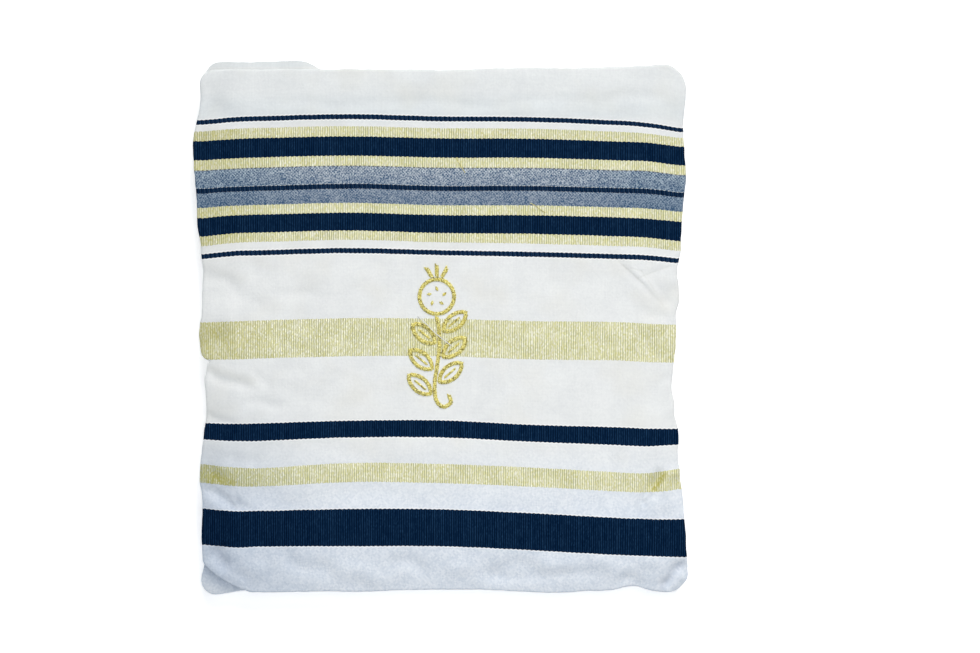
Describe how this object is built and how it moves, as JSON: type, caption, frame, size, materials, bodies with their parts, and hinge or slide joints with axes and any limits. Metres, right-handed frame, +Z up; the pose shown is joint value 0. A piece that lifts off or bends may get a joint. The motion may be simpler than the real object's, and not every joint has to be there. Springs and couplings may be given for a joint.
{
  "type": "folded tallit prayer shawl",
  "caption": "Woven prayer shawl folded to a soft flat rectangular packet, white cloth with navy, gold and grey-blue cross bands and a stitched gold sprig on its upper face.",
  "frame": {"origin": "centre of the packet's footprint on the surface that it lies on", "axes": "+Z up, +Y along the shawl's length towards the closely banded end of the upper face, +X to the right of it, across the cloth"},
  "size_m": [0.2884, 0.3112, 0.0212],
  "materials": {
    "shawl_cloth": "plain-woven matt white cloth with ribbed navy and metallic gold cross bands and heathered grey-blue bands",
    "gold_thread": "metallic gold embroidery thread, raised satin stitch"
  },
  "bodies": {
    "root": {"end_panel": "shawl_cloth", "folded_layers": "shawl_cloth", "sprig_stem": "gold_thread", "sprig_fruit": "gold_thread", "sprig_leaf_1": "gold_thread", "sprig_leaf_2": "gold_thread", "sprig_leaf_3": "gold_thread", "sprig_leaf_4": "gold_thread", "sprig_leaf_5": "gold_thread", "sprig_leaf_6": "gold_thread", "sprig_sepal_left": "gold_thread", "sprig_sepal_middle": "gold_thread", "sprig_sepal_right": "gold_thread"}
  },
  "joints": []
}
